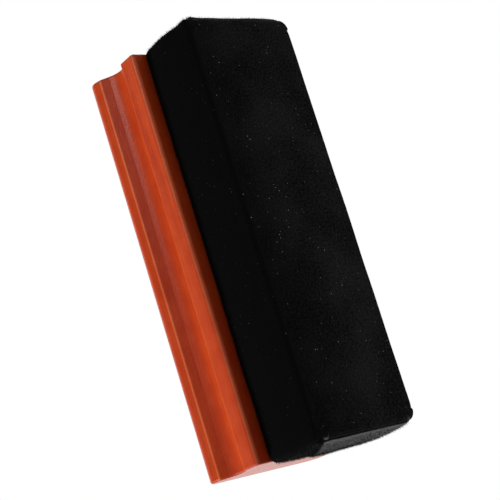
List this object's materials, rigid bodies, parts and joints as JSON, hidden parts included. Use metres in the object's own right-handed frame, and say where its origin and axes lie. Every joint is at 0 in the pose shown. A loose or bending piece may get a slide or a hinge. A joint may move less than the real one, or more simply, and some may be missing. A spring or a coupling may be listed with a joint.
{
  "type": "chalkboard eraser",
  "caption": "Chalkboard eraser: long moulded wooden handle with finger coves along both sides, over a thick black plush-covered foam pad.",
  "frame": {"origin": "centre of the wiping face, on the surface that the eraser rests on", "axes": "+X along the length, +Y across the width, +Z from the wiping face up through the pad to the back of the handle"},
  "size_m": [0.142, 0.0514, 0.054],
  "materials": {
    "lacquered_wood": "orange-red stained and lacquered, satin",
    "plush": "short-pile black plush",
    "foam": "open-cell polyurethane sponge",
    "hardboard": "raw hardboard",
    "staple_wire": "galvanised",
    "glue": "set hot-melt adhesive"
  },
  "bodies": {
    "root": {"handle": "lacquered_wood", "glue_layer": "glue", "backing_board": "hardboard", "foam_core": "foam", "plush_cover": "plush", "hem_staples": "staple_wire"}
  },
  "joints": []
}
